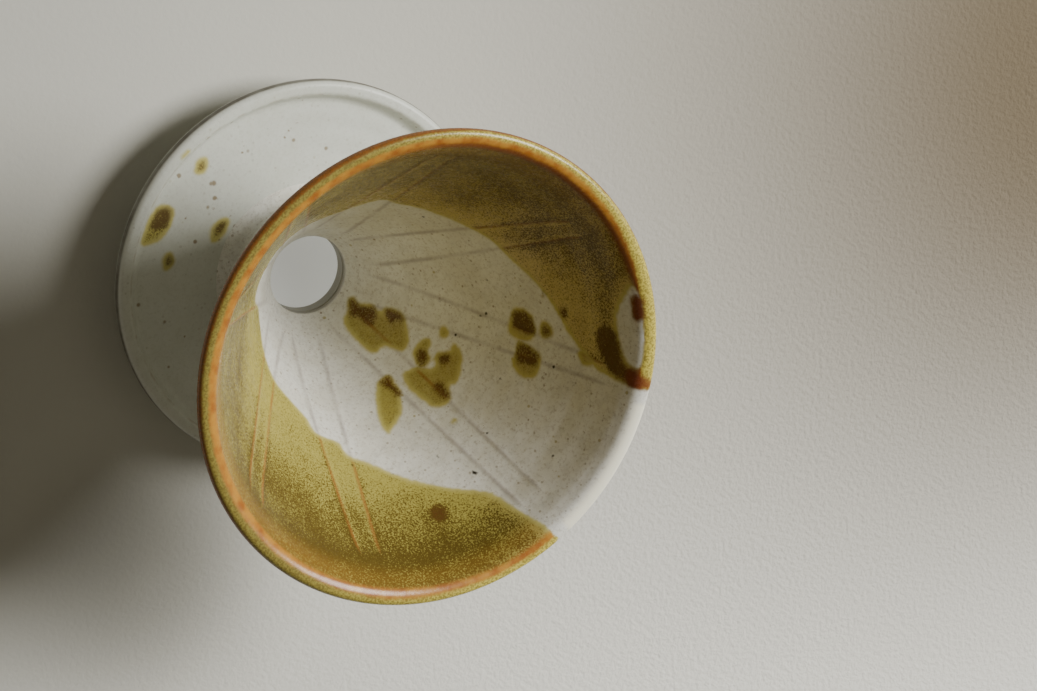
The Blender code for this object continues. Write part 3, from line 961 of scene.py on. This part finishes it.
def build_saucer(material):
    outline = rounded(saucer_corners(), 0.8)
    angles = even_angles(outline, SAUCER_COLUMNS)
    radius = outline[:, :1]
    top = (outline[:, 1:] > SAUCER_TOP - 0.3) & (radius > HOLE_RADIUS + 0.5)
    skin = (np.degrees(angles), radius, radius, lambda r: r)
    fields = {
        "splash": patches(SAUCER_SPLASHES, *skin),
        "dark": patches(SAUCER_CORES, *skin),
        "speck": specks(SAUCER_SPECKS, *skin),
    }
    fields = {name: np.where(top, value, -REACH) for name, value in fields.items()}
    fields["crest"] = from_crest(outline)[:, None]
    fields["hole"] = smooth_step(radius, HOLE_RADIUS + 0.4, HOLE_RADIUS + 0.1)
    turn = radius / SAUCER_RING_PITCH + angles / (2 * np.pi)
    rings = SAUCER_RING_DEPTH * np.sin(2 * np.pi * turn)
    rings = rings * smooth_step(radius, 14, 20) * (1 - smooth_step(radius, 42, 46))
    bulge = rings - SAUCER_INSET + 0.05 * wander(angles, 3)
    bulge = bulge + SPLASH_THICKNESS * smooth_step(fields["splash"], -0.2, 0.8)
    return swept("saucer_skin", outline, angles, bulge, fields, material, "saucer")


def build_ring(material):
    outer, inner = RING_RADIUS, RING_RADIUS - RING_WALL
    top = SAUCER_UNDER - SEAM
    corners = [
        (outer, top, 0.3), (outer - 0.5, 0.0, 1.0), (inner + 0.5, 0.0, 1.0), (inner, top, 0.3),
    ]
    outline = rounded(corners, 0.9)
    angles = even_angles(outline, TURNED_COLUMNS)
    bulge = 0.04 * wander(angles, 12) - 0.05
    bulge = np.where(outline[:, 1:] < 0.4, 0, bulge)
    return swept("ring_skin", outline, angles, bulge, {}, material, "locating_ring")


def build_coil(material):
    """Fillet smoothed with a finger, its edges running into the cone and the saucer."""
    top_z = COIL_TOP + 0.4
    wall = Cone.outside_radius(top_z)
    corners = [
        (wall - 0.5, top_z, 0.02),
        (wall + 1.2, SAUCER_TOP + 1.2, 3.4),
        (COIL_RADIUS + 0.4, SAUCER_TOP - 0.12, 0.02),
        (FOOT_RADIUS - 0.7, SAUCER_TOP - 0.2, 0.05),
        (FOOT_RADIUS - 0.8, FOOT_TOP, 0.2),
    ]
    outline = rounded(corners, 0.6)
    angles = even_angles(outline, TURNED_COLUMNS)
    facing = (outline_normals(outline)[:, :1] > 0.2) & (outline[:, 1:] > SAUCER_TOP + 0.3)
    bulge = np.where(facing, 0.12 * wander(angles, 21, (9, 14, 23)), 0)
    return swept("coil_skin", outline, angles, bulge, {}, material,
                 "cone_joint_coil")


def build_slip(material):
    """Brushed slip in the corner between ring and saucer."""
    toe = SLIP_RADIUS + 0.2
    corners = [
        (toe, SAUCER_UNDER + 0.02, 0.02),
        (toe - 0.05, SAUCER_UNDER - 0.1, 0.02),
        (RING_RADIUS + 0.5, SAUCER_UNDER - 0.6, 1.3),
        (RING_RADIUS + 0.02, SAUCER_UNDER - 3.0, 0.02),
        (RING_RADIUS - 0.3, SAUCER_UNDER - 1.0, 0.1),
        (RING_RADIUS - 0.2, SAUCER_UNDER, 0.05),
    ]
    outline = rounded(corners, 0.5)
    angles = even_angles(outline, TURNED_COLUMNS)
    facing = outline_normals(outline)[:, 1:] < -0.3
    bulge = np.where(facing, 0.07 * wander(angles, 31, (7, 12, 19)), 0)
    return swept("slip_skin", outline, angles, bulge, {}, material,
                 "ring_joint_slip")


# ---- stage, light and camera

# In metres, unlike the pieces.
CAMERA_FROM_RIM = Vector((-0.01676, -0.36987, 0.61437))
CAMERA_ELEVATION = radians(57.91)
CAMERA_ROLL = radians(125.26)
LENS_MM = 104.15
FLOOR_HALF = 3.0
FLOOR_Z = -0.0002
# Centres of two patches of painted shade on the paper, the second a painted shadow beside the
# object.
PAINTED_SHADE_PATCH_CENTRE = (-0.20, 0.185, 0.0)
SHADE_PATCH_CENTRE = (0.092, 0.022, 0.0)
# Painted light on the paper: its shaded and lit ends along Y, and its faint glow.
PAPER_SHADED_END = (0.55, 0.545, 0.487)
PAPER_LIT_END = (0.96, 0.95, 0.872)
# Colours of the two patches of painted shade.
PAPER_PAINTED_SHADE = (0.17, 0.132, 0.080)
PAPER_SHADE = (0.12, 0.11, 0.08)
PAPER_GLOW = (1.0, 1.0, 0.93)
CARD_Z = 0.0003
CARD_SIDES = 48
CARD_COLOUR = (0.6, 0.6, 0.57)
CARD_GLOW = (0.95, 0.95, 0.89)
CARD_STRENGTH = 0.33
WINDOW_DIRECTION = Vector((-0.63, 0.31, 0.715))
WINDOW_DISTANCE = 1.5
WINDOW_SIZE = 0.75
WINDOW_WATTS = 33.5
WINDOW_COLOUR = (1.0, 0.99, 0.965)
SKY_COLOUR = (1.0, 0.905, 0.70)
SKY_STRENGTH = 0.122


def patch_on_floor(net, centre, edge, middle):
    """1 within middle of the centre, easing to 0 at the edge, in metres."""
    away = net.node("VectorMath", {0: net.place, 1: centre}, operation="DISTANCE")
    return net.step(away.outputs["Value"], edge, middle)


def build_floor():
    """Pale paper with a tooth, painted lighter and faintly glowing towards +Y as painted light,
    with painted shade in two soft patches.
    """
    net = Net("paper")
    tooth = net.noise(650, 4)
    along = net.node("SeparateXYZ", {"Vector": net.place}).outputs["Y"]
    # Painted light: the paper goes from a shaded tone to a lit tone towards +Y.
    colour = net.mix(net.step(along, -0.16, 0.28), PAPER_SHADED_END, PAPER_LIT_END)
    # Painted shade: a broad soft dark patch on the paper towards -X and +Y.
    painted_shade = patch_on_floor(net, PAINTED_SHADE_PATCH_CENTRE, 0.30, 0.03)
    colour = net.mix(painted_shade, colour, PAPER_PAINTED_SHADE)
    # Painted shadow: a second, small dark patch beside the object.
    shade = net.times(patch_on_floor(net, SHADE_PATCH_CENTRE, 0.055, 0.005), 0.6)
    colour = net.mix(shade, colour, PAPER_SHADE)
    # Painted light: the paper glows faintly towards +Y, though it is no lamp.
    glow = net.times(net.step(along, 0.05, 0.3, 0, 0.22), net.minus(1, painted_shade))
    net.shader.inputs["Emission Color"].default_value = (*PAPER_GLOW, 1)
    net.set(net.shader.inputs["Emission Strength"], glow)
    relief = net.bump(tooth, 0.0006, net.step(along, -0.05, 0.22, 0.12, 1))
    paper = net.finish(colour, net.step(tooth, 0, 1, 0.8, 0.95), relief)
    corners = [(-1, -1), (1, -1), (1, 1), (-1, 1)]
    points = [(x * FLOOR_HALF, y * FLOOR_HALF, 0) for x, y in corners]
    floor = add_mesh("floor", points, [(0, 1, 2, 3)], paper)
    floor.location.z = FLOOR_Z


def build_card():
    """A softly glowing card inside the ring, so that the drain hole looks through to light."""
    net = Net("card")
    net.shader.inputs["Base Color"].default_value = (*CARD_COLOUR, 1)
    net.shader.inputs["Emission Color"].default_value = (*CARD_GLOW, 1)
    net.shader.inputs["Emission Strength"].default_value = CARD_STRENGTH
    turns = np.linspace(0, 2 * np.pi, CARD_SIDES, endpoint=False)
    radius = (RING_RADIUS - RING_WALL - 1.0) * MM
    points = [(radius * np.cos(a), radius * np.sin(a), 0.0) for a in turns]
    card = add_mesh("card", points, [tuple(range(CARD_SIDES))], net.material)
    card.location.z = CARD_Z


def build_lights():
    """One soft window from the -X side, with little and warm light from everywhere else."""
    lamp = bpy.data.lights.new("window", "AREA")
    lamp.shape = "DISK"
    lamp.size = WINDOW_SIZE
    lamp.energy = WINDOW_WATTS
    lamp.color = WINDOW_COLOUR
    window = add_object("window", lamp)
    away = WINDOW_DIRECTION.normalized()
    window.location = Vector((0, 0, RIM_TOP * MM / 2)) + away * WINDOW_DISTANCE
    window.rotation_euler = away.to_track_quat("Z", "Y").to_euler()
    world = bpy.data.worlds.new("studio")
    world.use_nodes = True
    sky = world.node_tree.nodes["Background"]
    sky.inputs["Color"].default_value = (*SKY_COLOUR, 1)
    sky.inputs["Strength"].default_value = SKY_STRENGTH
    bpy.context.scene.world = world


def build_camera():
    """Looks along +Y and down, rolled so that the cone's axis lies across the picture."""
    forward = Vector((0, cos(CAMERA_ELEVATION), -sin(CAMERA_ELEVATION)))
    level = Vector((1, 0, 0))
    upright = level.cross(forward)
    right = cos(CAMERA_ROLL) * level + sin(CAMERA_ROLL) * upright
    up = right.cross(forward)
    lens = bpy.data.cameras.new("camera")
    lens.lens = LENS_MM
    lens.sensor_width = 36.0
    lens.clip_start = 0.01
    camera = add_object("camera", lens)
    turned = Matrix((right, up, -forward)).transposed().to_4x4()
    rim_centre = Vector((0, 0, RIM_Z * MM))
    camera.matrix_world = Matrix.Translation(rim_centre + CAMERA_FROM_RIM) @ turned
    bpy.context.scene.camera = camera


build_camera()
build_lights()
build_floor()
build_card()
Cone().build(cone_material())
build_saucer(saucer_material())
build_coil(plain_white_material("coil_glaze"))
build_ring(ring_material())
build_slip(plain_white_material("slip_glaze"))
